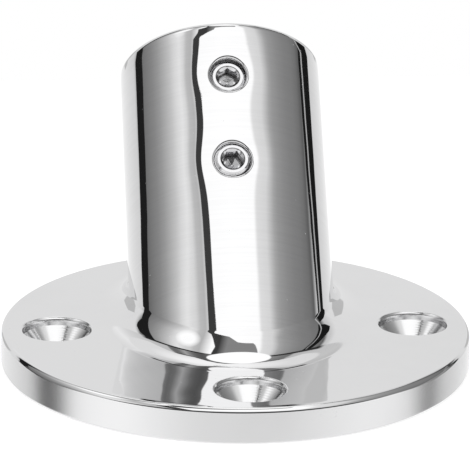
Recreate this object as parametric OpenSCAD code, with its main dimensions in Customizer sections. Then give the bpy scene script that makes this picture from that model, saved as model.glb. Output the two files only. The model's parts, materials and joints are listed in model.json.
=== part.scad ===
// Round base flange with a leaning tube socket, cast and polished in one piece.
// The tube slides into the socket and two socket set screws clamp it.
// Millimetres. The origin is the centre of the flange on its underside, +Z is up,
// and the socket leans towards +Y.

/* [Flange] */
// Diameter of the round flange
flange_d = 75; // [74:0.5:90]
// Thickness of the flange
flange_t = 5.6; // [4.5:0.1:8]
// Radius of the rounded upper edge
flange_edge_r = 0.8; // [0.3:0.1:1]
// Width of the small bevel round the underside
underside_bevel = 0.4; // [0.2:0.1:0.8]

/* [Fixing holes] */
// Diameter of the circle that the fixing holes lie on
fixing_circle_d = 57.2; // [55:0.2:58.4]
// Diameter of the through hole for the screw's shank
fixing_hole_d = 6.6; // [4.5:0.1:7]
// Diameter of the recess that takes the edge of the screw's head
head_recess_d = 10.8; // [10:0.1:11.4]
// Depth of that recess before the cone starts
head_recess_depth = 1.3; // [0.8:0.1:1.6]
// Full angle of the cone under the screw's head
head_cone_angle = 90; // [82:1:100]
// Radius of the rounded mouth of the recess
recess_mouth_r = 0.5; // [0.2:0.1:0.7]

/* [Socket] */
// Outer diameter of the tube that fits the socket
tube_d = 22; // [18:0.5:22.5]
// Clearance between the tube and the bore, on the radius
tube_clearance = 0.2; // [0.05:0.05:0.3]
// Outer diameter of the socket
socket_d = 33.2; // [32:0.1:33.6]
// Length of the socket's axis from the flange's top to the socket's end
socket_len = 44.8; // [40:0.1:60]
// Angle between the socket's axis and the vertical
lean = 45; // [30:1:46]
// Distance from the flange's centre to the socket's axis, on the flange's top
socket_shift = 6.8; // [4:0.1:7.2]
// Reach of the hollow round at the socket's foot, up the wall and out over the flange
foot_reach = 5.2; // [2:0.1:5.5]
// Length of the gently crowned stretch at the socket's end
crown_len = 3; // [2:0.5:8]
// Radius of that crowned stretch, seen from the side
crown_r = 40; // [20:1:60]
// Radius of the socket's rounded outer rim
rim_r = 1.4; // [0.3:0.1:1.6]
// Width of the bevel round the mouth of the bore
mouth_bevel = 0.6; // [0.3:0.1:1]

/* [Set screws] */
// Thread diameter of a set screw
screw_d = 6; // [5:0.5:8]
// Length of a set screw
screw_len = 4; // [3:0.1:4]
// Distance from the socket's end to the upper screw's axis
upper_screw_from_end = 9.9; // [9:0.1:13]
// Distance between the two screws' axes
screw_pitch = 15.5; // [12:0.1:17]
// Depth of the upper screw's face below the socket's surface
upper_screw_recess = 1.15; // [0.1:0.05:1.15]
// Depth of the lower screw's face below the socket's surface
lower_screw_recess = 0.25; // [0.1:0.05:1.15]
// Turn of the upper screw's hexagon about its own axis
upper_hex_turn = 30; // [0:1:59]
// Turn of the lower screw's hexagon about its own axis
lower_hex_turn = 3; // [0:1:59]
// Gap between a screw's thread and its hole, on the radius
thread_play = 0.05; // [0.02:0.01:0.1]
// Width across the flats of the hexagon socket
hex_width = 3; // [2.5:0.1:3.5]
// Depth of the hexagon socket
hex_depth = 2; // [1.2:0.1:2.4]
// Width of the lead-in bevel round the hexagon's mouth
hex_entry = 0.45; // [0.1:0.05:0.6]
// Width of the bevel at both ends of a set screw
screw_bevel = 0.5; // [0.2:0.1:0.8]
// Diameter of the cup at the screw's inner end
cup_d = 3; // [2:0.1:3.4]
// Full angle of the cone inside that cup
cup_angle = 120; // [90:1:140]
// Width of the rounded mouth of a set screw's hole
screw_mouth = 0.6; // [0.2:0.1:0.8]

/* [Hidden] */

$fn = 96;
// Cutters run this far past the surface that they cut
over = 1;

flange_r = flange_d / 2;
socket_r = socket_d / 2;
bore_r = tube_d / 2 + tube_clearance;
screw_r = screw_d / 2;

// Left, front and right; the socket overhangs the fourth place
fixing_angles = [180, 270, 0];

upper_screw_at = socket_len - upper_screw_from_end;
lower_screw_at = upper_screw_at - screw_pitch;

// Slope of the crowned stretch where the rounded rim takes over
crown_turn = asin((crown_len - rim_r) / (crown_r - rim_r));

// Far enough down the socket's axis to start below the flange's top all round
socket_start = -(socket_r * tan(lean) + flange_t / cos(lean));

// Directions of the leaning socket: its axis, and the two across it
axis_dir = [0, sin(lean), cos(lean)];
side_dir = [1, 0, 0];
under_dir = [0, cos(lean), -sin(lean)];
axis_foot = [0, socket_shift, flange_t];

// The foot round is sunk by this much into both walls, so that it crosses them
// instead of only touching them, and it is rooted this deep behind them
round_sink = 0.03;
round_root = 1;
round_steps = 7;
round_rings = 72;

// The hexagon's lead-in cone starts this far inside the flats, so that it crosses them
lead_in = 0.3;

finish_polished = "Gainsboro";
finish_screw = "Silver";

function arc(centre, r, from, to, steps) =
    [for (i = [0:steps])
        let (turn = from + (to - from) * i / steps)
        centre + r * [cos(turn), sin(turn)]];

// Places its children on the socket's axis, a distance up from the flange's top
module on_socket(up = 0) {
    translate(axis_foot) rotate([-lean, 0, 0]) translate([0, 0, up]) children();
}

// Places its children on a set screw's axis, with +Z pointing out of the wall
module on_screw(up) {
    on_socket(up) rotate([90, 0, 0]) children();
}

// Flange

module flange_blank() {
    edge = arc([flange_r - flange_edge_r, flange_t - flange_edge_r], flange_edge_r, 0, 90, 8);
    rotate_extrude()
        polygon(concat(
            [[0, 0], [flange_r - underside_bevel, 0], [flange_r, underside_bevel]],
            edge,
            [[0, flange_t]]));
}

// Through hole, cone and head recess with a rounded mouth
module fixing_hole() {
    hole_r = fixing_hole_d / 2;
    recess_r = head_recess_d / 2;
    recess_z = flange_t - head_recess_depth;
    cone_z = recess_z - (recess_r - hole_r) / tan(head_cone_angle / 2);
    mouth = arc([recess_r + recess_mouth_r, flange_t - recess_mouth_r], recess_mouth_r, 180, 90, 6);
    rotate_extrude()
        polygon(concat(
            [[0, -over], [hole_r, -over], [hole_r, cone_z], [recess_r, recess_z]],
            mouth,
            [[recess_r + recess_mouth_r, flange_t + over], [0, flange_t + over]]));
}

module fixing_holes() {
    for (angle = fixing_angles)
        rotate(angle) translate([fixing_circle_d / 2, 0, 0]) fixing_hole();
}

// Socket

// Outer profile of the socket's end: the crowned stretch, then the rounded rim
function end_profile() =
    let (
        start = socket_len - crown_len,
        crown = arc([socket_r - crown_r, start], crown_r, 0, crown_turn, 6),
        last = crown[len(crown) - 1],
        rim_centre = last - rim_r * [cos(crown_turn), sin(crown_turn)],
        rim = arc(rim_centre, rim_r, crown_turn, 90, 6)
    )
    concat(crown, [for (i = [1:len(rim) - 1]) rim[i]]);

module socket_blank() {
    rotate_extrude()
        polygon(concat(
            [[0, socket_start], [socket_r, socket_start]],
            end_profile(),
            [[0, socket_len]]));
}

// The blank is cut off level, half way down inside the flange
module socket_body() {
    reach = 2 * (socket_len + socket_d);
    intersection() {
        on_socket() socket_blank();
        translate([-reach / 2, -reach / 2, flange_t / 2]) cube([reach, reach, reach]);
    }
}

// Bore through the socket and the flange, bevelled at its mouth
module tube_bore() {
    on_socket(socket_start - bore_r) cylinder(h = socket_len - socket_start + bore_r + over, r = bore_r);
    on_socket(socket_len - mouth_bevel)
        cylinder(h = mouth_bevel + over, r1 = bore_r, r2 = bore_r + mouth_bevel + over);
}

// Threaded hole through the socket's wall, with an eased mouth
module set_screw_hole(up) {
    on_screw(up) {
        translate([0, 0, bore_r - over]) cylinder(h = socket_r - bore_r + 2 * over, r = screw_r);
        translate([0, 0, socket_r - screw_mouth])
            cylinder(h = screw_mouth + over, r1 = screw_r, r2 = screw_r + screw_mouth + over);
    }
}

// Foot round

// One section of the foot round, at an angle round the socket. It is an arc in the
// plane of the socket's axis and the way out over the flange. Its reach is the same
// all round, so the arc is wide in front and tight under the overhang
function foot_section(angle) =
    let (
        out = cos(angle) * side_dir + sin(angle) * under_dir,
        up = socket_r * sin(angle) * tan(lean),
        corner = axis_foot + up * axis_dir + socket_r * out,
        away = [out[0], out[1], 0] / norm([out[0], out[1]]),
        turn = 180 - acos(away * axis_dir),
        arc_r = foot_reach / tan(turn / 2),
        rise = (axis_dir + cos(turn) * away) / sin(turn),
        centre = corner + foot_reach * away + arc_r * rise,
        touch = [for (i = [0:round_steps])
            let (
                share = i / round_steps,
                sink = round_sink * ((1 - share) * [0, 0, 1] + share * out)
            )
            centre - arc_r * (cos(turn * share) * rise + sin(turn * share) * away) - sink],
        in_flange = touch[0] - [0, 0, round_root],
        in_wall = touch[round_steps] - round_root * out,
        in_corner = corner - round_root * out - round_root * axis_dir
    )
    concat([in_flange], touch, [in_wall, in_corner]);

module foot_round() {
    per_ring = round_steps + 4;
    points = [for (i = [0:round_rings - 1]) each foot_section(i * 360 / round_rings)];
    faces = [for (i = [0:round_rings - 1], j = [0:per_ring - 1])
        let (
            here = i * per_ring,
            next = (i + 1) % round_rings * per_ring,
            k = (j + 1) % per_ring
        )
        each [[here + j, next + k, next + j], [here + j, here + k, next + k]]];
    polyhedron(points, faces);
}

module base_fitting() {
    color(finish_polished)
        difference() {
            union() {
                flange_blank();
                socket_body();
                foot_round();
            }
            fixing_holes();
            tube_bore();
            set_screw_hole(upper_screw_at);
            set_screw_hole(lower_screw_at);
        }
}

// Set screws

// Headless screw with bevelled ends, a hexagon socket and a cup point.
// Its outer face lies at z = 0 and it reaches down to z = -screw_len
module set_screw(hex_turn) {
    r = screw_r - thread_play;
    face_r = r - screw_bevel;
    cup_r = cup_d / 2;
    cup_depth = cup_r / tan(cup_angle / 2);
    flat_r = hex_width / 2;
    color(finish_screw)
        difference() {
            rotate_extrude()
                polygon([
                    [0, 0], [face_r, 0], [r, -screw_bevel], [r, screw_bevel - screw_len],
                    [face_r, -screw_len], [cup_r, -screw_len], [0, cup_depth - screw_len]]);
            rotate(hex_turn)
                translate([0, 0, -hex_depth]) cylinder(h = hex_depth + over, r = flat_r / cos(30), $fn = 6);
            translate([0, 0, -hex_entry - lead_in])
                cylinder(h = hex_entry + lead_in + over,
                    r1 = flat_r - lead_in, r2 = flat_r + hex_entry + over);
        }
}

module upper_set_screw() {
    on_screw(upper_screw_at)
        translate([0, 0, socket_r - upper_screw_recess]) set_screw(upper_hex_turn);
}

module lower_set_screw() {
    on_screw(lower_screw_at)
        translate([0, 0, socket_r - lower_screw_recess]) set_screw(lower_hex_turn);
}

base_fitting();
upper_set_screw();
lower_set_screw();
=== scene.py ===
import json
import math
from functools import partialmethod

import bpy
import bmesh
import numpy as np
from mathutils import Matrix, Vector
from mathutils.geometry import delaunay_2d_cdt


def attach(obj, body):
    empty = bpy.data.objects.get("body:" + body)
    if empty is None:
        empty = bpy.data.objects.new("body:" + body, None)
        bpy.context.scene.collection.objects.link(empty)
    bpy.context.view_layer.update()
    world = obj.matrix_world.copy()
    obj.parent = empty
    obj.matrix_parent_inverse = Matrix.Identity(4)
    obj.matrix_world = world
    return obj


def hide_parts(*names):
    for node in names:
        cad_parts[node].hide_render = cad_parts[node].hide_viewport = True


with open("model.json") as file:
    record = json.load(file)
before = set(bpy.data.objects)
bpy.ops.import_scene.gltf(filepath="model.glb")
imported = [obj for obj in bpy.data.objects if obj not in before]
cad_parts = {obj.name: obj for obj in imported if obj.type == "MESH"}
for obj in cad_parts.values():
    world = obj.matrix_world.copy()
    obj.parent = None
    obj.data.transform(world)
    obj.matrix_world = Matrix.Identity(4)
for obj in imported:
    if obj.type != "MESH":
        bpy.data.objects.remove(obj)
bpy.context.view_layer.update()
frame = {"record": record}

bl_info = {
    "name": "Leaning socket base",
    "version": (1, 0, 0),
    "blender": (4, 5, 0),
    "location": "View3D > Sidebar > Leaning socket base",
    "description": "Polished round base flange with a leaning tube socket and two set screws",
    "category": "Add Mesh",
}

MOUNTS = {mount["name"]: mount["dims"] for mount in frame["record"]["mounts"]}
MM = 0.001
DEGREES = 180 / math.pi
# Finish of a face of the casting, kept in its attribute "zone"
POLISHED, SATIN, RAW, TURNED = 0.0, 1.0, 2.0, 3.0
# Way round the socket's axis to the side of the set screws
FRONT = 1.5 * math.pi
# Grid columns round the socket, the flange, a fixing hole and a set screw
COLUMNS, EDGE_COLUMNS, HOLE_COLUMNS, SCREW_COLUMNS = 288, 360, 96, 96
# Half the size, in grid cells, of the rectangle left out of a wall round a screw's hole
BLOCK = (19, 7)
# Spacing of the points that fill a level face, and their rows on each side of the middle
LEVEL_SPACING, LEVEL_ROWS = 0.0016, 40
# Width of the broken edge where a tapped hole, or a fixing hole, runs out
HOLE_EASE, UNDER_EASE = 0.00015, 0.0002
# Step for the slopes of a surface formula, and the gaps that are welded in patches and trees
NUDGE, PATCH_WELD, TREE_WELD = 1e-4, 8e-7, 5e-7
# Edges that fold more than this many degrees look sharp
HOLE_SHARP, SCREW_SHARP = 25, 24
# Height and number of the turning marks on the cone of a fixing hole
MARK_HEIGHT, MARKS = 0.000004, 7
# Shares of half a thread that its root and its flank take up
ROOT, FLANK = 0.14, 0.68
# Where the drill's cone starts in the hexagon's floor, and the slopes of it and of the cup
DRILL_START, DRILL_SLOPE, CUP_SLOPE = 0.3, 0.45, 0.577


def length(value, note):
    return bpy.props.FloatProperty(
        description=note, default=value, min=0, precision=5, unit="LENGTH", subtype="DISTANCE")


def turn(degrees, note):
    return bpy.props.FloatProperty(
        description=note, default=math.radians(degrees), unit="ROTATION", subtype="ANGLE")


def share(value, note):
    return bpy.props.FloatProperty(description=note, default=value, min=0, max=4, subtype="FACTOR")


def tint(value, note):
    return bpy.props.FloatVectorProperty(
        description=note, default=value, size=3, min=0, max=1, subtype="COLOR")


class FlangeSizes(bpy.types.PropertyGroup):
    width: length(0.075, "Diameter of the round flange")
    thickness: length(0.0056, "Thickness of the flange")
    edge_round: length(0.0008, "Radius of the rounded upper edge")
    under_bevel: length(0.0004, "Width of the bevel round the underside")
    hole_circle: length(MOUNTS["side_fixings"]["spacing_x_mm"] * MM, "Circle of the holes")
    hole_r: length(MOUNTS["side_fixings"]["hole_r_mm"] * MM, "Radius of the through hole")
    recess_r: length(0.0054, "Radius of the recess for the screw's head")
    recess_depth: length(0.0013, "Depth of the recess above the cone")
    recess_round: length(0.0005, "Radius of the recess's rounded mouth")
    cone_half: turn(45, "Half the angle of the cone under the head")


class SocketSizes(bpy.types.PropertyGroup):
    radius: length(0.0166, "Outer radius of the socket")
    bore_r: length(MOUNTS["tube_socket"]["r_mm"] * MM, "Radius of the bore for the tube")
    axis_len: length(0.0448, "From the flange's top to the socket's end, along the axis")
    lean: turn(45, "Angle between the socket's axis and the vertical")
    shift: length(0.0068, "From the flange's centre to the socket's axis, on the flange's top")
    foot_reach: length(0.0052, "Reach of the hollow round at the foot, up and out")
    crown_len: length(0.003, "Gently crowned stretch at the socket's end")
    crown_r: length(0.04, "Radius of the crowned stretch seen from the side")
    rim_r: length(0.0014, "Radius of the rounded outer rim")
    mouth_bevel: length(0.0006, "Width of the bevel round the bore's mouth")
    buff_dip: length(0.00011, "How far buffing has sunk the wall round a set screw's hole")
    buff_reach: length(0.0021, "How far that buffed dip spreads from the hole's mouth")


class ScrewSizes(bpy.types.PropertyGroup):
    radius: length(0.00295, "Radius over the thread's crests")
    hole_r: length(0.003, "Radius of the tapped hole in the wall")
    hole_round: length(0.0006, "Width of the rounded mouth of the tapped hole")
    pitch: length(0.001, "Distance between two turns of the thread")
    thread_depth: length(0.0005, "Depth of the thread")
    body: length(0.004, "Length of a set screw")
    end_bevel: length(0.0005, "Width of the bevel at both ends")
    hex_width: length(0.003, "Width of the hexagon socket across its flats")
    hex_depth: length(0.002, "Depth of the hexagon socket")
    hex_entry: length(0.00045, "Width of the lead-in bevel round the hexagon")
    cup_r: length(0.0015, "Radius of the cup at the inner end")
    upper_at: length(0.0349, "Upper screw's place along the socket's axis")
    lower_at: length(0.0194, "Lower screw's place along the socket's axis")
    upper_sunk: length(0.00115, "Depth of the upper screw below the wall")
    lower_sunk: length(0.00025, "Depth of the lower screw below the wall")
    upper_turn: turn(30, "Turn of the upper hexagon about its own axis")
    lower_turn: turn(3, "Turn of the lower hexagon about its own axis")


class FinishColours(bpy.types.PropertyGroup):
    steel: tint((0.82, 0.82, 0.825), "Reflection colour of the polished casting")
    raw: tint((0.62, 0.61, 0.60), "Colour of the unpolished cast skin")
    screw: tint((0.78, 0.78, 0.79), "Colour of the set screws")
    # This colour also paints the shade in the set screws' hexagon and thread grooves
    grime: tint((0.06, 0.057, 0.053), "Colour of dirt and dried polish in corners")
    dust: tint((0.75, 0.75, 0.76), "Colour of dust specks")


class StageSettings(bpy.types.PropertyGroup):
    floor: tint((0.9, 0.9, 0.9), "Colour of the table")
    floor_half: length(0.16, "Half the width of the table top")
    room: share(1.0, "Strength of the plain room light")
    lamps: share(1.24, "Brightness of the lit cloths that the polish mirrors")
    lamp: share(1.0, "Share of the two soft lamps")


class SocketSurfaces:
    """Formulas of the casting's surfaces, in metres. Angles run round the socket's axis."""

    def __init__(self, scene):
        self.flange, self.socket, self.screws = scene.base_flange, scene.base_socket, scene.base_screws
        flange, socket, screws, lean = self.flange, self.socket, self.screws, self.socket.lean
        self.axis = np.array([0, math.sin(lean), math.cos(lean)])
        self.side = np.array([1.0, 0, 0])
        self.under = np.array([0, math.cos(lean), -math.sin(lean)])
        self.foot = np.array([0, socket.shift, flange.thickness])
        self.screw_places = [screws.lower_at, screws.upper_at]
        self.mouth_r = screws.hole_r + screws.hole_round

    def out(self, angle):
        return np.cos(angle)[..., None] * self.side + np.sin(angle)[..., None] * self.under

    def place(self, angle, along, radius):
        along, radius = np.broadcast_arrays(along, radius)
        return self.foot + along[..., None] * self.axis + radius[..., None] * self.out(angle)

    def dip(self, across, along):
        """Depth that buffing has taken off round the holes of the set screws."""
        total = 0
        for place in self.screw_places:
            beyond = np.maximum(np.hypot(across, along - place) - self.mouth_r, 0)
            total = total + self.socket.buff_dip * np.exp(-beyond / self.socket.buff_reach)
        to_rim = (self.socket.axis_len - self.socket.rim_r - along) / self.socket.crown_len
        return total * np.clip(to_rim, 0, 1) ** 2

    def skin(self, angle, along, radius):
        """Point of the outer wall, dipped where it faces the screws."""
        dip = np.where(np.sin(angle) < 0, self.dip(self.socket.radius * np.cos(angle), along), 0)
        return self.place(angle, along, radius - dip)

    def round_top(self, angle):
        """Place along the axis where the foot round meets the wall."""
        return self.socket.radius * np.sin(angle) * math.tan(self.socket.lean) + self.socket.foot_reach

    def wall(self, angle, rise):
        """Outer wall between the foot round and the crowned end."""
        start = self.round_top(angle)
        along = start + (self.socket.axis_len - self.socket.crown_len - start) * rise
        return self.skin(angle, along, self.socket.radius)

    def foot_round(self, angle, rise):
        """Hollow round with equal reach up the wall and out on the flange, tangent to both."""
        reach = self.socket.foot_reach
        out = self.out(angle)
        corner = self.place(angle, self.round_top(angle) - reach, self.socket.radius)
        away = out * [1, 1, 0]
        away = away / np.linalg.norm(away, axis=-1, keepdims=True)
        bend = math.pi - np.arccos(away @ self.axis)[..., None]
        arc_r = reach / np.tan(bend / 2)
        up = (self.axis + np.cos(bend) * away) / np.sin(bend)
        centre = corner + reach * away + arc_r * up
        swing = bend * rise[..., None]
        return centre - arc_r * (np.cos(swing) * up + np.sin(swing) * away)

    def bore_low(self, angle):
        """Place along the axis where the bore runs out through the underside."""
        lean = self.socket.lean
        drop = self.flange.thickness - self.socket.bore_r * np.sin(angle) * math.sin(lean)
        return -drop / math.cos(lean)

    def bore(self, angle, rise):
        low = self.bore_low(angle)
        along = low + (self.socket.axis_len - self.socket.mouth_bevel - low) * rise
        return self.place(angle, along, self.socket.bore_r)

    def screw_spot(self, place, sunk=0.0):
        """Centre of a screw's hole in the outer wall, or of a screw's end sunk in it."""
        return self.foot + place * self.axis - (self.socket.radius - sunk) * self.under

    def screw_point(self, place, around, ring, height):
        """Point round a set screw's axis, height being along that axis from the socket's own axis."""
        towards = np.cos(around)[..., None] * self.side + np.sin(around)[..., None] * self.axis
        return self.foot + place * self.axis + ring[..., None] * towards - height[..., None] * self.under


class Skin:
    """Collects surface patches with exact normals, to be welded into one closed shell."""

    def __init__(self):
        self.points, self.normals, self.faces, self.zones, self.count = [], [], [], [], 0

    def take(self, points, normals, faces, zone):
        self.points.append(points.reshape(-1, 3))
        self.normals.append(normals.reshape(-1, 3))
        self.faces.extend([[self.count + corner for corner in face] for face in faces])
        self.zones.extend([zone] * len(faces))
        self.count += len(self.points[-1])

    def patch(self, shape, us, vs, zone, left_out=()):
        """Grid of a surface formula, closed along its first value."""
        u, v = np.meshgrid(us, vs, indexing="ij")
        self.take(shape(u, v), exact_normals(shape, u, v), grid_faces(len(us), len(vs), left_out), zone)

    def flat(self, loops, inside, z, zone):
        """Level face between closed loops, filled with triangles."""
        spacing = LEVEL_SPACING
        spots, edges = [], []
        for loop in loops:
            start = len(spots)
            spots += [tuple(spot) for spot in loop]
            edges += [(start + k, start + (k + 1) % len(loop)) for k in range(len(loop))]
        span = np.arange(-LEVEL_ROWS, LEVEL_ROWS + 1) * spacing
        rings = np.array(spots)
        for row, y in enumerate(span):
            for x in span + spacing / 2 * (row % 2):
                if inside(x, y) and np.hypot(rings[:, 0] - x, rings[:, 1] - y).min() > spacing * 0.5:
                    spots.append((x, y))
        found = delaunay_2d_cdt([Vector(spot) for spot in spots], edges, [], 0, 1e-9)
        flat = np.array([[*spot, z] for spot in found[0]])
        faces = [face for face in found[2] if inside(*flat[list(face), :2].mean(axis=0))]
        self.take(flat, np.tile([0, 0, 1.0], (len(flat), 1)), faces, zone)

    def mesh(self, name):
        """Weld the patches, turn every face outwards and keep the exact normals."""
        data = bpy.data.meshes.new(name)
        data.from_pydata(np.concatenate(self.points).tolist(), [], self.faces)
        normals = np.concatenate(self.normals)
        corners = np.array([corner for face in self.faces for corner in face])
        kept = data.attributes.new("exact", "FLOAT_VECTOR", "CORNER")
        kept.data.foreach_set("vector", normals[corners].ravel())
        zone = data.attributes.new("zone", "FLOAT", "FACE")
        zone.data.foreach_set("value", self.zones)
        work = bmesh.new()
        work.from_mesh(data)
        bmesh.ops.remove_doubles(work, verts=work.verts, dist=PATCH_WELD)
        loose = [vert for vert in work.verts if not vert.link_faces]
        bmesh.ops.delete(work, geom=loose, context="VERTS")
        face_outwards(work, name)
        for face in work.faces:
            face.smooth = True
        work.to_mesh(data)
        work.free()
        exact = read(data.attributes["exact"].data, "vector")
        sizes = [len(face.vertices) for face in data.polygons]
        facing = np.repeat(read(data.polygons, "normal"), sizes, axis=0)
        exact *= np.where((exact * facing).sum(axis=1) < 0, -1, 1)[:, None]
        data.attributes.remove(data.attributes["exact"])
        data.normals_split_custom_set(exact.tolist())
        return data


def read(items, name):
    """A property of three numbers, of all items, as an array of rows."""
    values = np.zeros(len(items) * 3)
    items.foreach_get(name, values)
    return values.reshape(-1, 3)


def face_outwards(work, name):
    """Turn the faces of a shell outwards. A shell that isn't closed is an error."""
    open_edges = sum(not edge.is_manifold for edge in work.edges)
    if open_edges:
        raise RuntimeError(f"{name} has {open_edges} open edges")
    bmesh.ops.recalc_face_normals(work, faces=work.faces)
    if work.calc_volume(signed=True) < 0:
        bmesh.ops.reverse_faces(work, faces=work.faces)


def smooth_below(work, mesh, degrees):
    """Put a shell back in its mesh, smooth but for the edges that fold more than an angle."""
    for face in work.faces:
        face.smooth = True
    for edge in work.edges:
        edge.smooth = edge.calc_face_angle(0.0) < math.radians(degrees)
    work.to_mesh(mesh)
    work.free()


def exact_normals(shape, u, v, unit=1.0):
    """Normals of a surface formula, unit being what its second value is measured in."""
    du = shape(u + NUDGE, v) - shape(u - NUDGE, v)
    dv = shape(u, v + NUDGE * unit) - shape(u, v - NUDGE * unit)
    normals = np.cross(du, dv)
    return normals / np.linalg.norm(normals, axis=-1, keepdims=True)


def grid_faces(rows, columns, left_out=()):
    """Four-cornered faces of a closed grid of points, but for the cells of some rectangles."""
    faces = []
    for i in range(rows):
        here, after = i * columns, (i + 1) % rows * columns
        for j in range(columns - 1):
            if not any(a <= i < b and c <= j < d for a, b, c, d in left_out):
                faces.append([here + j, after + j, after + j + 1, here + j + 1])
    return faces


def arc(centre, radius, height, down=1):
    """Profile of an arc, as (height, radius) at a turn from the level. It rises, or sinks at -1."""
    return lambda v: (height + down * radius * np.sin(v), centre + radius * np.cos(v))


def line(start, end):
    """Profile of a straight line between two points (height, radius)."""
    return lambda v: (start[0] + (end[0] - start[0]) * v, start[1] + (end[1] - start[1]) * v)


def lathe(skin, place, angles, rows):
    """Bands turned round an axis. Each row: profile, its first and last value, steps, finish."""
    for profile, start, end, steps, zone in rows:
        skin.patch(lambda angle, v: place(angle, *profile(v)), angles, np.linspace(start, end, steps), zone)


def ways_round(count):
    return np.arange(count) * 2 * math.pi / count


def circle(x, y, radius, count):
    angles = ways_round(count)
    return np.stack([x + radius * np.cos(angles), y + radius * np.sin(angles)], axis=-1)


def within(loop, x, y):
    """Even-odd test of a point against a closed loop."""
    ahead = np.roll(loop, -1, axis=0)
    crosses = (loop[:, 1] > y) != (ahead[:, 1] > y)
    part = loop[crosses]
    after = ahead[crosses]
    at = part[:, 0] + (y - part[:, 1]) / (after[:, 1] - part[:, 1]) * (after[:, 0] - part[:, 0])
    return (at > x).sum() % 2 == 1


def hole_angles():
    """Directions round a screw's hole, one for each point of the rectangle about it."""
    return ways_round(4 * sum(BLOCK)) - 0.75 * math.pi


def block_round(skin, surface, wall, shape, angles, rises, place, hole, radius, zone, steps):
    """Patch between a rectangle left out of a wall's grid and the round hole in it.

    Returns the rectangle of grid cells. Its points are spread evenly round the hole.
    """

    def along(angle, rise):
        return (wall(angle, rise) - surface.foot) @ surface.axis

    front = int(np.argmin(np.abs(angles - FRONT)))
    middle = int(np.argmin(np.abs(along(np.full_like(rises, angles[front]), rises) - place)))
    left, right, low, high = front - BLOCK[0], front + BLOCK[0], middle - BLOCK[1], middle + BLOCK[1]
    # The cells' corners once round the rectangle
    loop = [(i, low) for i in range(left, right)] + [(right, j) for j in range(low, high)]
    loop += [(i, high) for i in range(right, left, -1)] + [(left, j) for j in range(high, low, -1)]
    edge_angles = angles[[i for i, _ in loop]]
    far_x = radius * np.cos(edge_angles)
    far_s = along(edge_angles, rises[[j for _, j in loop]])
    around, shares = np.meshgrid(hole_angles(), np.linspace(0, 1, steps + 1), indexing="ij")
    x = hole * np.cos(around) * (1 - shares) + far_x[:, None] * shares
    s = (place + hole * np.sin(around)) * (1 - shares) + far_s[:, None] * shares
    angle = FRONT + np.arcsin(x / radius)

    def ruled(angle, s):
        return shape(angle, s, radius)

    normals = exact_normals(ruled, angle, s, radius)
    skin.take(ruled(angle, s), normals, grid_faces(len(loop), steps + 1), zone)
    return left, right, low, high


def screw_hole(skin, surface, place):
    """Rounded mouth, tapped wall and eased inner edge of one set screw's hole."""
    screws, socket = surface.screws, surface.socket
    hole, mouth, ease = screws.hole_r, screws.hole_round, HOLE_EASE

    def outer(around, ring, drop):
        angle = FRONT + np.arcsin(ring * np.cos(around) / socket.radius)
        wall = surface.skin(angle, place + ring * np.sin(around), socket.radius)
        return wall + drop[..., None] * surface.under

    def inner(around, ring, lift):
        height = np.sqrt(socket.bore_r ** 2 - (ring * np.cos(around)) ** 2) + lift
        return surface.screw_point(place, around, ring, height)

    def rounded(around, turned):
        return outer(around, hole + mouth * (1 - np.sin(turned)), mouth * (1 - np.cos(turned)))

    def tapped(around, down):
        ring = np.full_like(around, hole)
        top, bottom = outer(around, ring, ring * 0 + mouth), inner(around, ring, ease)
        return top + (bottom - top) * down[..., None]

    def eased(around, turned):
        return inner(around, hole + ease * (1 - np.sin(turned)), ease * (1 - np.cos(turned)))

    skin.patch(rounded, hole_angles(), np.linspace(0, math.pi / 2, 9), POLISHED)
    skin.patch(tapped, hole_angles(), np.linspace(0, 1, 9), TURNED)
    skin.patch(eased, hole_angles(), np.linspace(0, math.pi / 2, 4), TURNED)


class Field:
    """A node's output that ordinary arithmetic extends with Math nodes."""

    def __init__(self, nodes, socket):
        self.nodes, self.socket = nodes, socket

    def maths(self, operation, *values):
        return self.nodes.field("ShaderNodeMath", enumerate((self, *values)), operation=operation)

    __add__ = __radd__ = partialmethod(maths, "ADD")
    __sub__ = partialmethod(maths, "SUBTRACT")
    __mul__ = __rmul__ = partialmethod(maths, "MULTIPLY")
    __truediv__ = partialmethod(maths, "DIVIDE")
    least = partialmethod(maths, "MINIMUM")
    most = partialmethod(maths, "MAXIMUM")

    def __rsub__(self, other):
        return (self * -1) + other

    def mixed(self, other, amount):
        return self + (other - self) * amount

    def band(self, low, high, to_low=0.0, to_high=1.0):
        """This value carried from one range over to another and kept within it."""
        return self.nodes.field("ShaderNodeMapRange", {
            "Value": self, "From Min": low, "From Max": high, "To Min": to_low, "To Max": to_high})


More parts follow.
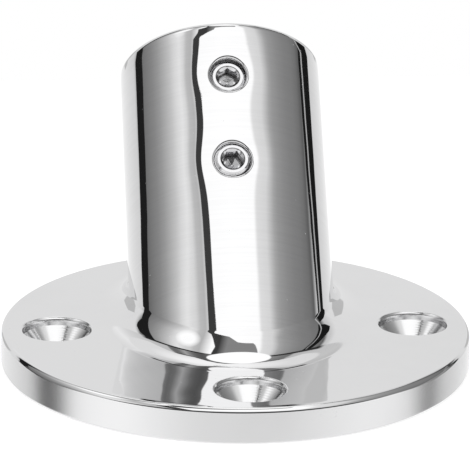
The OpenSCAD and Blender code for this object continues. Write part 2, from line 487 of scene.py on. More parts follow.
class Nodes:
    """Short hand for building a node tree, in which Fields are linked and plain values are set."""

    def __init__(self, tree):
        self.tree = tree

    def node(self, kind, inputs=(), **settings):
        node = self.tree.nodes.new(kind)
        for key, setting in settings.items():
            setattr(node, key, setting)
        for slot, value in dict(inputs).items():
            if isinstance(value, Field):
                self.tree.links.new(value.socket, node.inputs[slot])
            else:
                node.inputs[slot].default_value = value
        return node

    def field(self, kind, inputs=(), output=0, **settings):
        """One output of a new node."""
        return Field(self, self.node(kind, inputs, **settings).outputs[output])

    def fields(self, kind, inputs=(), **settings):
        """All outputs of a new node, by name."""
        return {slot.name: Field(self, slot) for slot in self.node(kind, inputs, **settings).outputs}

    def split(self, vector):
        return self.fields("ShaderNodeSeparateXYZ", {0: vector}).values()

    def joined(self, x, y, z):
        return self.field("ShaderNodeCombineXYZ", {0: x, 1: y, 2: z})

    def vector(self, operation, *values, output=0):
        return self.field("ShaderNodeVectorMath", enumerate(values), output, operation=operation)

    def noise(self, vector, scale, detail, rough=0.5):
        return self.field("ShaderNodeTexNoise", {
            "Vector": vector, "Scale": scale, "Detail": detail, "Roughness": rough}, "Fac")

    def mix(self, amount, first, second):
        """Colour between two others, each a Field or the parts of a colour."""
        first, second = (end if isinstance(end, Field) else (*end[:3], 1.0) for end in (first, second))
        return self.field("ShaderNodeMix", {0: amount, 6: first, 7: second}, 2, data_type="RGBA")


class ShapeTree(Nodes):
    """Builds one Geometry Nodes tree with named inputs."""

    def __init__(self, name, inputs):
        super().__init__(bpy.data.node_groups.new(name, "GeometryNodeTree"))
        self.tree.is_modifier = True
        sockets = self.tree.interface
        sockets.new_socket("Geometry", in_out="OUTPUT", socket_type="NodeSocketGeometry")
        for label, value in inputs.items():
            kind = "NodeSocketFloat" if isinstance(value, float) else "NodeSocketMaterial"
            sockets.new_socket(label, in_out="INPUT", socket_type=kind).default_value = value
        self.given = self.fields("NodeGroupInput")

    def revolve(self, columns, rows, profile):
        """Sheet closed round Z, from a formula that turns (angle, v) into radius and height."""
        grid = self.field("GeometryNodeMeshGrid", {
            "Size X": 1.0, "Size Y": 1.0, "Vertices X": columns + 1, "Vertices Y": rows + 1})
        x, y, _ = self.split(self.field("GeometryNodeInputPosition"))
        angle = (x + 0.5) * (2 * math.pi)
        radius, height = profile(angle, y + 0.5)
        spot = self.joined(radius * angle.maths("COSINE"), radius * angle.maths("SINE"), height)
        return self.field("GeometryNodeSetPosition", {"Geometry": grid, "Position": spot})

    def join(self, parts):
        node = self.node("GeometryNodeJoinGeometry")
        for part in parts:
            self.tree.links.new(part.socket, node.inputs[0])
        return self.field("GeometryNodeMergeByDistance", {
            "Geometry": Field(self, node.outputs[0]), "Distance": TREE_WELD})

    def finish(self, geometry):
        real = self.field("GeometryNodeRealizeInstances", {"Geometry": geometry})
        self.node("NodeGroupOutput", {0: self.field("GeometryNodeSetMaterial", {
            "Geometry": real, "Material": self.given["Material"]})})
        return self.tree


def run_tree(name, tree, values=()):
    """Evaluate a tree on an empty mesh, with some inputs changed, and return the mesh it makes."""
    carrier = bpy.data.objects.new(name, bpy.data.meshes.new(name + "_seed"))
    bpy.context.scene.collection.objects.link(carrier)
    modifier = carrier.modifiers.new("Shape", "NODES")
    modifier.node_group = tree
    for item in tree.interface.items_tree:
        if item.in_out == "INPUT" and item.name in values:
            modifier[item.identifier] = values[item.name]
    graph = bpy.context.evaluated_depsgraph_get()
    made = bpy.data.meshes.new_from_object(carrier.evaluated_get(graph))
    bpy.data.objects.remove(carrier)
    return made


def hole_tree(flange, material):
    """Linings of the countersunk fixing holes: one revolved profile on three points."""
    tree = ShapeTree("Fixing hole linings", {
        "Circle": flange.hole_circle / 2, "Top": flange.thickness, "Hole Radius": flange.hole_r,
        "Recess Radius": flange.recess_r, "Recess Depth": flange.recess_depth,
        "Mouth Round": flange.recess_round, "Cone Slope": math.tan(flange.cone_half),
        "Under Ease": UNDER_EASE, "Turning Marks": MARK_HEIGHT, "Material": material})
    ring, top, hole, recess, depth, mouth, slope, ease, marks = list(tree.given.values())[:9]
    floor_z = top - depth
    cone_z = floor_z - (recess - hole) / slope

    def rounded(angle, v):
        swing = v * (math.pi / 2)
        return recess + mouth * (1 - swing.maths("SINE")), top - mouth * (1 - swing.maths("COSINE"))

    def wall(angle, v):
        return recess + v * 0, (top - mouth).mixed(floor_z, v)

    def cone(angle, v):
        inside = (v * (1 - v) * 24).least(1)
        mark = (v * (2 * math.pi * MARKS)).maths("COSINE") * inside * marks
        return recess.mixed(hole, v) + mark, floor_z.mixed(cone_z, v)

    def shank(angle, v):
        return hole + v * 0, cone_z.mixed(ease, v)

    def eased(angle, v):
        return hole + ease * v, ease * (1 - v)

    lining = tree.join(tree.revolve(HOLE_COLUMNS, rows, profile) for rows, profile in (
        (8, rounded), (3, wall), (56, cone), (6, shank), (2, eased)))
    row = tree.field("GeometryNodeMeshLine", {"Count": 3})
    angle = (tree.field("GeometryNodeInputIndex") + 2) * (math.pi / 2)
    spot = tree.joined(ring * angle.maths("COSINE"), ring * angle.maths("SINE"), 0.0)
    points = tree.field("GeometryNodeSetPosition", {"Geometry": row, "Position": spot})
    return tree.finish(tree.field("GeometryNodeInstanceOnPoints", {"Points": points, "Instance": lining}))


def screw_tree(screws, lean, material):
    """Socket set screw with a cut thread, bevelled ends, a hexagon socket and a cup point."""
    tree = ShapeTree("Socket set screw", {
        "Radius": screws.radius, "Length": screws.body, "End Bevel": screws.end_bevel,
        "Pitch": screws.pitch, "Thread Depth": screws.thread_depth, "Flat Radius": screws.hex_width / 2,
        "Hexagon Entry": screws.hex_entry, "Hexagon Depth": screws.hex_depth,
        "Cup Radius": screws.cup_r, "Lean": lean, "Turn": 0.0, "Place Y": 0.0, "Place Z": 0.0,
        "Material": material})
    (radius, body, bevel, pitch, cut, flat, entry, deep, cup,
     lean, turned, place_y, place_z) = list(tree.given.values())[:13]
    face = radius - bevel

    def hexagon(angle):
        near = angle.maths("MODULO", math.pi / 3) - math.pi / 6
        return flat / near.maths("COSINE")

    def thread(angle, v):
        height = (body * -1) * v
        wave = (height / pitch - angle / (2 * math.pi) + 8).maths("FRACT")
        crest = (((wave * 2 - 1).maths("ABSOLUTE") - ROOT) / FLANK).least(1).most(0)
        ridge = (radius - cut).mixed(radius, crest)
        return ridge.least(face - height).least(face + body + height), height

    def ring(angle, v):
        return face.mixed(flat + entry, v), v * 0

    def lead_in(angle, v):
        wall = hexagon(angle)
        return (flat + entry).mixed(wall, v), (wall - flat - entry) * v

    def hex_wall(angle, v):
        wall = hexagon(angle)
        return wall + v * 0, (wall - flat - entry).mixed(deep * -1, v)

    def hex_floor(angle, v):
        return hexagon(angle) * (1 - v), deep * -1 - (v - DRILL_START).most(0) * flat * DRILL_SLOPE

    def cup_ring(angle, v):
        return face.mixed(cup, v), body * -1 + v * 0

    def cup_cone(angle, v):
        return cup * (1 - v), body * -1 + cup * CUP_SLOPE * v

    screw = tree.join(tree.revolve(SCREW_COLUMNS, rows, profile) for rows, profile in (
        (100, thread), (12, ring), (4, lead_in), (16, hex_wall), (10, hex_floor), (2, cup_ring),
        (4, cup_cone)))
    spun = tree.field("GeometryNodeTransform", {
        "Geometry": screw, "Rotation": tree.joined(0.0, 0.0, turned)})
    return tree.finish(tree.field("GeometryNodeTransform", {
        "Geometry": spun, "Rotation": tree.joined(math.pi / 2 - lean, 0.0, 0.0),
        "Translation": tree.joined(0.0, place_y, place_z)}))


def shader_group(name, inputs, outputs):
    """A new shader group's nodes, and its inputs by name."""
    nodes = Nodes(bpy.data.node_groups.new(name, "ShaderNodeTree"))
    sockets = nodes.tree.interface
    sockets.new_socket("Vector", in_out="INPUT", socket_type="NodeSocketVector")
    for label, value in inputs.items():
        sockets.new_socket(label, in_out="INPUT", socket_type="NodeSocketFloat").default_value = value
    for label in outputs:
        sockets.new_socket(label, in_out="OUTPUT", socket_type="NodeSocketFloat")
    return nodes, nodes.fields("NodeGroupInput")


def polish_marks_group():
    """Fine lines left by a polishing belt, with a few deeper stray scratches."""
    nodes, given = shader_group(
        "Polish marks", {"Line Scale": 2600.0, "Stretch": 60.0, "Stray": 0.5}, ["Height"])
    squeeze = nodes.joined(given["Stretch"], given["Stretch"], 1.0)
    lined = nodes.vector("DIVIDE", given["Vector"], squeeze)
    fine = nodes.noise(lined, given["Line Scale"], 4.0, 0.6)
    stray = nodes.noise(lined, given["Line Scale"] * 0.31, 1.0).band(0.68, 0.74)
    nodes.node("NodeGroupOutput", {"Height": fine - stray * given["Stray"]})
    return nodes.tree


def specks_group():
    """Scattered dust specks and small dull smudges."""
    nodes, given = shader_group(
        "Dust and smudges", {"Speck Scale": 800.0, "Amount": 0.12}, ["Specks", "Smudge"])
    spot = given["Vector"]
    cells = nodes.fields("ShaderNodeTexVoronoi", {"Vector": spot, "Scale": given["Speck Scale"]})
    chance, _, _ = nodes.split(cells["Color"])
    dots = cells["Distance"].band(0.10, 0.05) * chance.maths("LESS_THAN", given["Amount"])
    patchy = nodes.noise(spot, 90.0, 2.0).band(0.35, 0.6)
    smudge = nodes.noise(spot, 45.0, 6.0, 0.65).band(0.48, 0.72)
    nodes.node("NodeGroupOutput", {"Specks": dots * patchy, "Smudge": smudge})
    return nodes.tree


def fresh_nodes(owner):
    """Node tree of a new material or world, emptied."""
    owner.use_nodes = True
    owner.node_tree.nodes.clear()
    return Nodes(owner.node_tree)


# How far the casting's normals lean: with the ripples of the level face, where that face is worn
# before the socket, and at the set screws' holes, with the reach of that last lean
RIPPLE_LEAN, WORN_LEAN, DISH_LEAN, DISH_REACH = 0.07, -0.0585, -13.0, 0.0055
# Turn of the worn area's sides and of its edge towards the socket
SIDE_TURN, AHEAD_TURN = -0.124, 0.18
# Half the thickness of the layer round the flange's top that counts as its level face
LEVEL_LAYER = 0.000012


def casting_material(finish, surface, marks, specks):
    """Mirror polish outside, satin edge, raw cast skin in the bore and underneath, turned holes."""
    material = bpy.data.materials.new("hand_polished_casting")
    nodes = fresh_nodes(material)
    thick, lean = surface.flange.thickness, surface.socket.lean
    spot = nodes.field("ShaderNodeTexCoord", output="Object")
    x, y, z = nodes.split(spot)
    upright = nodes.field("ShaderNodeMapping", {"Vector": spot, "Rotation": (lean, 0.0, 0.0)})
    zone = nodes.field("ShaderNodeAttribute", output="Fac", attribute_name="zone")
    satin, raw, turned = ((zone - kind).maths("ABSOLUTE").band(0.5, 0.4) for kind in (SATIN, RAW, TURNED))
    belt = nodes.field("ShaderNodeGroup", {"Vector": upright}, "Height", node_tree=marks)
    dust, smudge = nodes.fields("ShaderNodeGroup", {"Vector": spot}, node_tree=specks).values()
    wobble, ripple = nodes.noise(upright, 130.0, 1.0), nodes.noise(spot, 95.0, 1.0)
    grain, pits = nodes.noise(spot, 1400.0, 5.0, 0.7), nodes.noise(spot, 420.0, 3.0)
    shade = nodes.mix(raw, finish.steel, finish.raw)
    shade = nodes.mix(smudge * 0.03, shade, finish.grime)
    above = z.band(thick + 0.0004, thick + 0.002)
    shade = nodes.mix(belt.band(0.4, 0.62, 0.0, 0.03) * above, shade, finish.grime)
    shade = nodes.mix(dust, shade, finish.dust)
    rough = smudge.band(0.0, 1.0, 0.02, 0.055) + satin * 0.22 + turned * 0.14
    rough = rough + raw * pits.band(0.3, 0.7, 0.3, 0.45)
    # Polishing has worn the flange's face down a little towards the front, before the socket
    level = (z - thick).maths("ABSOLUTE").band(LEVEL_LAYER, LEVEL_LAYER / 2)
    aside, ahead = x + y * SIDE_TURN, y + x * AHEAD_TURN
    worn = level
    for value, start, end in ((aside, -0.0184, -0.0166), (aside, 0.0164, 0.0146), (ahead, -0.0074, -0.0092),
                              (nodes.vector("LENGTH", spot, output="Value"), 0.03705, 0.0364)):
        worn = worn * value.band(start, end)
    # Buffing has dished the wall across the set screws' holes
    dished = 0.0
    for place in surface.screw_places:
        centre = tuple(surface.screw_spot(place))
        beyond = nodes.vector("DISTANCE", spot, centre, output="Value") / DISH_REACH
        dished = (beyond * beyond * -1).maths("EXPONENT") + dished
    uneven = (ripple - 0.5) * RIPPLE_LEAN * level + dished * x * DISH_LEAN * (1 - turned)
    tilted = nodes.vector("ADD", nodes.field("ShaderNodeNewGeometry", output="Normal"),
                          nodes.joined(uneven, worn * WORN_LEAN, 0.0))
    height = wobble * 0.014 + belt * 0.0004 + raw * (grain + pits * 2.0) * 0.013
    bump = nodes.field("ShaderNodeBump", {
        "Height": height, "Distance": 0.001, "Normal": nodes.vector("NORMALIZE", tilted)})
    skin = nodes.field("ShaderNodeBsdfPrincipled", {
        "Base Color": shade, "Metallic": dust.band(0.0, 1.0, 1.0, 0.2), "Roughness": rough, "Normal": bump})
    nodes.node("ShaderNodeOutputMaterial", {0: skin})
    return material


def screw_material(finish, marks, specks):
    """Plain machined steel with turning marks, darkened where smudged and by painted shade in the hexagon and the
    thread's grooves.
    """
    material = bpy.data.materials.new("machined_screw_steel")
    nodes = fresh_nodes(material)
    spot = nodes.field("ShaderNodeTexCoord", output="Object")
    turned = nodes.field("ShaderNodeGroup", {
        "Vector": spot, "Line Scale": 2400.0, "Stretch": 3.0}, "Height", node_tree=marks)
    smudge = nodes.field("ShaderNodeGroup", {"Vector": spot}, "Smudge", node_tree=specks)
    painted_recess_shade = nodes.field("ShaderNodeAttribute", output="Fac", attribute_name="grime")
    # Smudges, and the painted shade on the hexagon's rim and corners and in the thread's grooves, darken the base
    # colour towards the grime colour
    skin = nodes.field("ShaderNodeBsdfPrincipled", {
        "Base Color": nodes.mix((smudge * 0.15).most(painted_recess_shade), finish.screw, finish.grime), "Metallic": 1.0,
        "Roughness": turned.band(0.2, 0.8, 0.10, 0.2).most(painted_recess_shade * 0.5),
        "Normal": nodes.field("ShaderNodeBump", {"Height": turned, "Distance": 0.000012})})
    nodes.node("ShaderNodeOutputMaterial", {0: skin})
    return material


def finishes():
    """The two materials, made on first use."""
    if "hand_polished_casting" not in bpy.data.materials:
        scene = bpy.context.scene
        groups = polish_marks_group(), specks_group()
        casting_material(scene.base_finish, SocketSurfaces(scene), *groups)
        screw_material(scene.base_finish, *groups)
    return bpy.data.materials["hand_polished_casting"], bpy.data.materials["machined_screw_steel"]


def put_piece(mesh, name, node):
    piece = bpy.data.objects.new(name, mesh)
    bpy.context.scene.collection.objects.link(piece)
    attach(piece, "root")
    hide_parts(node)
    return piece


class OBJECT_OT_base_casting(bpy.types.Operator):
    """Make the casting: flange, leaning socket, foot round, holes and bore in one closed shell"""

    bl_idname = "object.base_casting"
    bl_label = "Casting"

    def execute(self, context):
        surface = SocketSurfaces(context.scene)
        flange, socket, screws = surface.flange, surface.socket, surface.screws
        steel, _ = finishes()
        skin = Skin()
        angles, rises = ways_round(COLUMNS), np.linspace(0, 1, 81)
        skin.patch(surface.foot_round, angles, np.linspace(0, 1, 33), POLISHED)
        blocks = [block_round(skin, surface, surface.wall, surface.skin, angles, rises, place,
                              surface.mouth_r, socket.radius, POLISHED, 14) for place in surface.screw_places]
        skin.patch(surface.wall, angles, rises, POLISHED, blocks)
        self.socket_end(skin, surface, angles)
        blocks = [block_round(skin, surface, surface.bore, surface.place, angles, rises, place,
                              screws.hole_r + HOLE_EASE, socket.bore_r, RAW, 4)
                  for place in surface.screw_places]
        for place in surface.screw_places:
            screw_hole(skin, surface, place)
        skin.patch(surface.bore, angles, rises, RAW, blocks)
        self.flange_faces(skin, surface, angles)
        self.hole_linings(skin, flange, steel)
        mesh = skin.mesh("base_fitting_skin")
        mesh.materials.append(steel)
        put_piece(mesh, "polished_base_casting", "base_fitting")
        return {"FINISHED"}

    def socket_end(self, skin, surface, angles):
        """Crowned stretch, rounded rim, end face and bevelled mouth."""
        socket = surface.socket
        end, crown_r, rim_r, bevel = socket.axis_len, socket.crown_r, socket.rim_r, socket.mouth_bevel
        tilt = math.asin((socket.crown_len - rim_r) / (crown_r - rim_r))
        hub, start = socket.radius - crown_r, end - socket.crown_len
        rim, low = hub + (crown_r - rim_r) * math.cos(tilt), start + (crown_r - rim_r) * math.sin(tilt)
        mouth = (end, socket.bore_r + bevel)
        lathe(skin, surface.skin, angles, [(arc(hub, crown_r, start), 0, tilt, 13, POLISHED)])
        lathe(skin, surface.place, angles, [
            (arc(rim, rim_r, low), tilt, math.pi / 2, 11, POLISHED),
            (line((end, rim), mouth), 0, 1, 3, SATIN),
            (line(mouth, (end - bevel, socket.bore_r)), 0, 1, 3, SATIN)])

    def flange_faces(self, skin, surface, angles):
        """Rounded edge, side, underside bevel and the two level faces."""
        flange = surface.flange
        radius, thick = flange.width / 2, flange.thickness
        edge, bevel = flange.edge_round, flange.under_bevel

        def turned(angle, z, ring):
            return np.stack(np.broadcast_arrays(ring * np.cos(angle), ring * np.sin(angle), z), axis=-1)

        lathe(skin, turned, ways_round(EDGE_COLUMNS), [
            (arc(radius - edge, edge, thick - edge), 0, math.pi / 2, 11, POLISHED),
            (line((bevel, radius), (thick - edge, radius)), 0, 1, 4, SATIN),
            (arc(radius - bevel, bevel, bevel, -1), 0, math.pi / 2, 5, SATIN)])
        ring = flange.hole_circle / 2
        centres = [(math.cos(a) * ring, math.sin(a) * ring) for a in (math.pi, FRONT, 0.0)]
        mouth = flange.recess_r + flange.recess_round
        toe = surface.foot_round(angles, np.zeros_like(angles))[:, :2]
        run_out = surface.bore(angles, np.zeros_like(angles))[:, :2]
        for z, rim, inner, hole, zone in ((thick, radius - edge, toe, mouth, POLISHED),
                                          (0.0, radius - bevel, run_out, flange.hole_r + UNDER_EASE, RAW)):
            loops = [circle(0, 0, rim, EDGE_COLUMNS), inner]
            loops += [circle(x, y, hole, HOLE_COLUMNS) for x, y in centres]

            def inside(x, y):
                clear = all(math.hypot(x - cx, y - cy) > hole for cx, cy in centres)
                return clear and math.hypot(x, y) < rim and not within(inner, x, y)

            skin.flat(loops, inside, z, zone)

    def hole_linings(self, skin, flange, steel):
        """The three countersunk holes come from one node tree and are welded in with the rest."""
        made = run_tree("fixing_hole_linings", hole_tree(flange, steel))
        work = bmesh.new()
        work.from_mesh(made)
        smooth_below(work, made, HOLE_SHARP)
        points = read(made.vertices, "co")[[loop.vertex_index for loop in made.loops]]
        normals = read(made.corner_normals, "vector")
        normals[points[:, 2] > flange.thickness - 1e-7] = (0, 0, 1)
        faces = [list(face.loop_indices) for face in made.polygons]
        skin.take(points, normals, faces, TURNED)
        bpy.data.meshes.remove(made)


class OBJECT_OT_set_screws(bpy.types.Operator):
    """Make both socket set screws from one node tree"""

    bl_idname = "object.base_set_screws"
    bl_label = "Set screws"

    def execute(self, context):
        surface = SocketSurfaces(context.scene)
        screws = surface.screws
        _, steel = finishes()
        tree = screw_tree(screws, surface.socket.lean, steel)
        for end in ("upper", "lower"):
            name = end + "_set_screw"
            place, sunk, turned = (getattr(screws, f"{end}_{what}") for what in ("at", "sunk", "turn"))
            spot = surface.screw_spot(place, sunk)
            _, place_y, place_z = spot.tolist()
            mesh = run_tree(name, tree, {"Turn": turned, "Place Y": place_y, "Place Z": place_z})
            work = bmesh.new()
            work.from_mesh(mesh)
            face_outwards(work, name)
            smooth_below(work, mesh, SCREW_SHARP)
            self.paint_recess_shade(mesh, screws, surface, spot)
            put_piece(mesh, "socket_" + name, name)
        return {"FINISHED"}

    def paint_recess_shade(self, mesh, screws, surface, spot):
        """Mark where shade is painted: the hexagon's rim and corners, and the thread's grooves."""
        away = read(mesh.vertices, "co") - spot
        ring = np.hypot(away @ surface.side, away @ surface.axis)
        depth = away @ surface.under
        rim = np.abs(ring - screws.hex_width / 2 - screws.hex_entry) < 0.00007
        corner = (np.abs(depth - screws.hex_depth) < 0.00012) & (ring > screws.hex_width / 2 * 0.9)
        cut = (screws.radius - ring) / screws.thread_depth
        groove = (cut > 0.4) & (cut < 1.1) & (depth > screws.end_bevel * 0.8)
        # Painted shade, strongest on the hexagon's rim, then its floor corners, then the thread's grooves
        painted_recess_shade = np.where(rim & (depth < 0.0001), 0.9, np.where(corner, 0.8, np.where(groove, 0.7, 0.0)))
        mesh.attributes.new("grime", "FLOAT", "POINT").data.foreach_set("value", painted_recess_shade)


# The room that the polish mirrors is a tent of pale cloths round a white table, with dark gaps
# between the cloths. A direction in it is given by two angles in degrees: the way round the
# socket's axis, 0 being up and to the front, and the tilt away from that axis.
# Each row: way round, drift of the row's place where "past" is 1, grey level
SIDE_CLOTHS = (
    (-180, 0, 250), (-162, 0, 228), (-138, 0, 214), (-122, 0, 204), (-110, -1, 100), (-103, -1.2, 113),
    (-89, -2.9, 131), (-80, -3.6, 149), (-72, -4.4, 170), (-64, -5.5, 190), (-57, -6.2, 212), (-50, -4, 225),
    (-45, -1, 212), (-41, 0, 184), (-35, 0, 176), (-24, 0, 252), (0, 0, 255), (25, -1, 253), (28.5, -1, 218),
    (39.5, -2.2, 210), (44, -3.2, 190), (49.5, -2.4, 161), (54, -2, 148), (64, -2.5, 135), (74, -3.2, 126),
    (85, -2.8, 120), (93, 1, 110), (99, 2, 88), (106, 0, 192), (125, 0, 206), (152, 0, 226), (163, 0, 250))
# Way round and grey level, for directions nearer the socket's axis
ROOF_CLOTHS = (
    (-180, 214), (-160, 226), (-148, 215), (-139, 207), (-119, 197), (-93, 187), (-75, 182), (-73, 116),
    (-68, 101), (-62, 108), (-58, 131), (-53, 160), (-50, 142), (-46, 122), (-43, 104), (-38, 90), (-32, 83),
    (-27, 92), (-22, 109), (0, 122), (40, 140), (57, 118), (66, 110), (69.5, 120), (72, 178), (100, 187),
    (142, 191), (162, 180), (168, 205), (180, 214))
ROOF_TILT = 21.8
# Inner edge of that roof as points (way round, tilt), inside which the pale back shows
BACK_EDGE = ((-104, 17), (-94, 15), (-84, 12.6), (-74, 10.9), (-48, 10.2), (-30, 6), (-10, 4),
             (14, 4), (40, 7.5), (66, 12), (83, 15), (90, 17))
# Way round the upright, 0 being the camera's side, and grey level, for the table in front
TABLE_LEVELS = ((-180, 222), (-100, 235), (-61, 245), (-22, 216), (20, 214), (60, 235), (100, 228))
# Gaps and lines between the side cloths: points (tilt, way round) of both edges, then two ways
# round with their grey levels, between which the shade runs
GAPS = (
    (((21.5, -104), (24.4, -110.4), (29.6, -114.3), (34.3, -113.6), (43.8, -110.7), (56.2, -115), (61.8, -118.4),
      (63.05, -119.7), (64, -123), (65, -123.6)),
     ((21.5, -88.5), (23.4, -90.4), (30.5, -94.4), (39.5, -98.4), (50.6, -102.6), (61.3, -104.5),
      (63.05, -107), (64.6, -111.5), (66, -114)), (-120, 34), (-90, 34)),
    (((22, -22), (37.2, -20.1), (51.6, -24.8), (58, -27.6), (61.3, -32.4), (63.1, -32.6), (65, -31.5)),
     ((22, 26), (30.5, 22.8), (42.7, 19), (45.9, 17), (46.8, 8), (48, 1), (56.9, -8.5), (58.5, -16),
      (60.5, -24), (61.5, -25), (64.4, -24.4), (65, -22.8)), (-17, 60), (-9, 128)),
    (((20.5, 77), (25, 80), (32.6, 87.4), (41.4, 93.3), (48, 96), (50.5, 100), (56.5, 100.5), (61.3, 99.2),
      (62.8, 101.4), (63.6, 103.8), (65, 108)),
     ((20, 88.5), (23.7, 92.4), (29.2, 99.1), (33.9, 107.5), (38.5, 110.7), (44.2, 105.4), (47.5, 98),
      (49.5, 97), (52.6, 108.6), (57, 115), (61, 118.8), (65, 118.8)), (80, 30), (120, 30)),
    (((24, 82), (33, 91.5), (41, 97), (47, 98), (58, 96), (61.2, 103.7), (62.8, 106.2), (63.6, 108.4), (65, 111)),
     ((24, 83.2), (33, 93), (41, 98.6), (47, 99.6), (58, 98), (61.2, 105.9), (62.8, 108.4), (63.6, 110.6),
      (65, 113.2)), (100, 168), (110, 168)))
# Edges of a grey patch low on each side, the way round taken without its sign
LEAF = (((41, 136), (44.6, 123.5), (54.8, 130), (60, 139), (61, 147)),
        ((41, 134), (46.8, 152), (54.8, 156), (60, 150), (61, 145)))


# Centre and reach of the lamp's spot, as (way round, tilt), and of the crescent on the foot
# round, as tilt (towards, across) the camera
LAMP_SPOT = ((-50, 43), (11, 13))
CRESCENT = ((18, 3.2), (12.3, 10.6))
# Half the width, in degrees, over which one cloth goes over into the next
SOFT = 0.3
# Most that a row of the side cloths drifts, in degrees
DRIFT = 8.0
# How far the table lies below the flange, and the light that it adds to its paper for the camera
TABLE_DROP, PAPER_LIFT = -0.00005, 0.35


def as_light(level):
    return ((level / 255) ** 2.2,) * 3


def lit(rows):
    return [(angle, as_light(level)) for angle, level in rows]


def ramp(way, rows):
    """Colour ramp over the way round, in degrees, from rows of an angle and a colour."""
    node = way.nodes.node("ShaderNodeValToRGB", {0: way.band(-180, 180)})
    stops = node.color_ramp.elements
    while len(stops) > 1:
        stops.remove(stops[-1])
    stops[0].position = 0
    for angle, colour in rows:
        stop = stops[0] if angle == -180 else stops.new((angle + 180) / 360)
        stop.color = (*colour, 1.0)
    return Field(way.nodes, node.outputs[0])


def edge_line(along, points):
    """Value of an edge as a chain of straight stretches over another value."""
    total = points[0][1]
    for (low, start), (high, end) in zip(points, points[1:]):
        total = along.band(low, high, 0.0, end - start) + total
    return total


def between(value, along, low, high):
    """How far a value lies inside two edges, below 0 outside them."""
    return (value - edge_line(along, low)).least(edge_line(along, high) - value)


def oval(x, y, centre, reach, soft):
    """Mask of an oval with a soft edge."""
    total = 0.0
    for value, middle, half in zip((x, y), centre, reach):
        off = (value - middle) / half
        total = off * off + total
    return total.band(1 + soft, 1 - soft)


def tent(nodes, around, tilt, towards, across):
    """Light from the tent's cloths, lamp and gaps."""

    def layer(mask, under, over):
        return nodes.mix(mask, *(as_light(end) if isinstance(end, int) else end for end in (under, over)))

    past = tilt.band(50, 61, 1.5, 0.0) + tilt.band(63.1, 65.1, 0.0, 1.2)
    drift = ramp(around, [(angle, (drift / DRIFT / 2 + 0.5,) * 3) for angle, drift, _ in SIDE_CLOTHS])
    moved = around - drift.band(0.0, 1.0, -DRIFT, DRIFT) * past
    side = ramp(moved, [(angle, as_light(level)) for angle, _, level in SIDE_CLOTHS])
    side = layer(oval(around, tilt, *LAMP_SPOT, 0.6), side, 255)
    off = around.maths("ABSOLUTE")
    # A pale cloth low behind the part, and the grey patches in front of it
    side = layer(off.band(110, 118) * tilt.band(60, 55), side, 214)
    side = layer(between(off, tilt, *LEAF).band(-0.5, 1.5), side, 178)
    for low, high, start, end in GAPS:
        shade = layer(around.band(start[0], end[0]), start[1], end[1])
        side = layer(between(around, tilt, low, high).band(-SOFT, SOFT), side, shade)
    roof = ramp(around, lit(ROOF_CLOTHS))
    # Its dark hem, a fold along the edge of the pale back, and that back
    hem = tilt.band(ROOF_TILT - 2.4, ROOF_TILT - 2.0) * off.band(26, 34) * off.band(112, 104)
    roof = layer(hem, roof, 45)
    inward = edge_line(around, BACK_EDGE) - tilt
    roof = layer(inward.band(-1.6, -1.2) * off.band(78, 68), roof, 70)
    roof = layer(inward.band(-SOFT, SOFT), roof, layer(tilt.band(5, 12), 240, 214))
    room = layer(tilt.band(ROOF_TILT + SOFT, ROOF_TILT - SOFT), side, roof)
    return layer(oval(towards, across, *CRESCENT, 0.05), room, 255)


def room_world(stage, socket):
    """White to the camera, plain light on the table, and the tent's cloths to the polish."""
    world = bpy.data.worlds.new("light_tent")
    nodes = fresh_nodes(world)
    way = nodes.field("ShaderNodeTexCoord", output="Generated")
    leaned = nodes.field("ShaderNodeVectorRotate", {"Vector": way, "Angle": socket.lean},
                         rotation_type="X_AXIS")
    x, y, z = nodes.split(leaned)
    around, tilt = x.maths("ARCTAN2", y * -1), z.maths("ARCCOSINE") * DEGREES
    seen = tent(nodes, around * DEGREES, tilt, tilt * around.maths("COSINE"), tilt * around.maths("SINE"))
    x, y, z = nodes.split(way)
    table = ramp(x.maths("ARCTAN2", y * -1) * DEGREES, lit(TABLE_LEVELS))
    # Far from the axis lies the table, with the dark room above it
    front = nodes.mix(z.band(-0.02, 0.0), table, as_light(70))
    seen = nodes.mix(tilt.band(98.0, 104.0), seen, front)
    seen = nodes.field("ShaderNodeVectorMath", {0: seen, "Scale": stage.lamps}, operation="SCALE")
    path = nodes.fields("ShaderNodeLightPath")
    plain = nodes.mix(path["Is Glossy Ray"], (0.86, 0.86, 0.86), seen)
    shown = nodes.mix(path["Is Camera Ray"], plain, (1.0, 1.0, 1.0))
    nodes.node("ShaderNodeOutputWorld", {0: nodes.field("ShaderNodeBackground", {
        "Color": shown, "Strength": stage.room})})
    return world


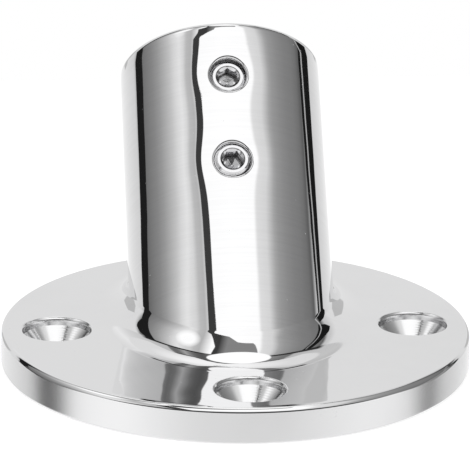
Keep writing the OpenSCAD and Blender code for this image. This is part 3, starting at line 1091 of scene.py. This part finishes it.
class OBJECT_OT_base_stage(bpy.types.Operator):
    """Set up the table, the soft light and the camera"""

    bl_idname = "object.base_stage"
    bl_label = "Stage"

    def execute(self, context):
        scene = context.scene
        stage = scene.base_stage
        scene.world = room_world(stage, scene.base_socket)
        half = stage.floor_half
        data = bpy.data.meshes.new("table_top")
        corners = (-half, -half), (half, -half), (half, half), (-half, half)
        data.from_pydata([(x, y, TABLE_DROP) for x, y in corners], [], [(0, 1, 2, 3)])
        table = bpy.data.objects.new("table_top", data)
        scene.collection.objects.link(table)
        material = bpy.data.materials.new("table_paper")
        nodes = fresh_nodes(material)
        seen = nodes.field("ShaderNodeLightPath", output="Is Camera Ray")
        lift = nodes.field("ShaderNodeEmission", {"Color": (1, 1, 1, 1), "Strength": seen * PAPER_LIFT})
        paper = nodes.field("ShaderNodeBsdfDiffuse", {"Color": (*stage.floor, 1.0)})
        both = nodes.field("ShaderNodeAddShader", {0: lift, 1: paper})
        nodes.node("ShaderNodeOutputMaterial", {0: both})
        data.materials.append(material)
        table.visible_glossy = False
        for name, spot, size, power in (("left_softbox", (-0.35, -0.15, 0.45), 0.4, 0.5),
                                        ("right_softbox", (0.3, -0.25, 0.5), 0.4, 0.4)):
            lamp = bpy.data.lights.new(name, "AREA")
            lamp.size = size
            lamp.energy = power * stage.lamp
            holder = bpy.data.objects.new(name, lamp)
            holder.location = spot
            holder.rotation_euler = (-Vector(spot)).to_track_quat("-Z", "Y").to_euler()
            holder.visible_glossy = False
            scene.collection.objects.link(holder)
        self.camera(scene)
        scene.view_settings.view_transform = "Standard"
        return {"FINISHED"}

    def camera(self, scene):
        """Camera at the photograph's angle, worked out from the flange, holes and socket."""
        azimuth, elevation, roll = map(math.radians, (-4.777, 18.453, 0.70))
        away, focal, frame_px, sensor = 0.65, 4086.4, 470, 36
        aim, aside = 0.02097, -0.000247
        back = Vector((math.sin(azimuth) * math.cos(elevation), -math.cos(azimuth) * math.cos(elevation),
                       math.sin(elevation)))
        level = Vector((math.cos(azimuth), math.sin(azimuth), 0))
        up = back.cross(level)
        target = Vector((0, 0, aim)) + aside * level
        right = level * math.cos(roll) + up * math.sin(roll)
        upward = up * math.cos(roll) - level * math.sin(roll)
        lens = bpy.data.cameras.new("photo_camera")
        lens.sensor_width = sensor
        lens.lens = focal / frame_px * sensor
        lens.clip_start = 0.01
        lens.clip_end = 20
        holder = bpy.data.objects.new("photo_camera", lens)
        turned = Matrix((right, upward, back)).transposed().to_4x4()
        holder.matrix_world = Matrix.Translation(target + back * away) @ turned
        scene.collection.objects.link(holder)
        scene.camera = holder


class VIEW3D_PT_leaning_socket_base(bpy.types.Panel):
    bl_label = "Leaning socket base"
    bl_space_type = "VIEW_3D"
    bl_region_type = "UI"
    bl_category = "Leaning socket base"

    def draw(self, context):
        scene = context.scene
        for group in SETTINGS:
            box = self.layout.box()
            box.label(text=group.removeprefix("base_").capitalize())
            sizes = getattr(scene, group)
            for name in sizes.__annotations__:
                box.prop(sizes, name, text=name.replace("_", " ").capitalize())
        for step in STEPS:
            self.layout.operator(step.bl_idname)


SETTINGS = {"base_flange": FlangeSizes, "base_socket": SocketSizes, "base_screws": ScrewSizes,
            "base_finish": FinishColours, "base_stage": StageSettings}
STEPS = (OBJECT_OT_base_casting, OBJECT_OT_set_screws, OBJECT_OT_base_stage)
CLASSES = (*SETTINGS.values(), *STEPS, VIEW3D_PT_leaning_socket_base)


def register():
    for part in CLASSES:
        bpy.utils.register_class(part)
    for name, group in SETTINGS.items():
        setattr(bpy.types.Scene, name, bpy.props.PointerProperty(type=group))


def unregister():
    for name in SETTINGS:
        delattr(bpy.types.Scene, name)
    for part in reversed(CLASSES):
        bpy.utils.unregister_class(part)


def main():
    register()
    bpy.ops.object.base_casting()
    bpy.ops.object.base_set_screws()
    bpy.ops.object.base_stage()


if __name__ == "__main__":
    main()
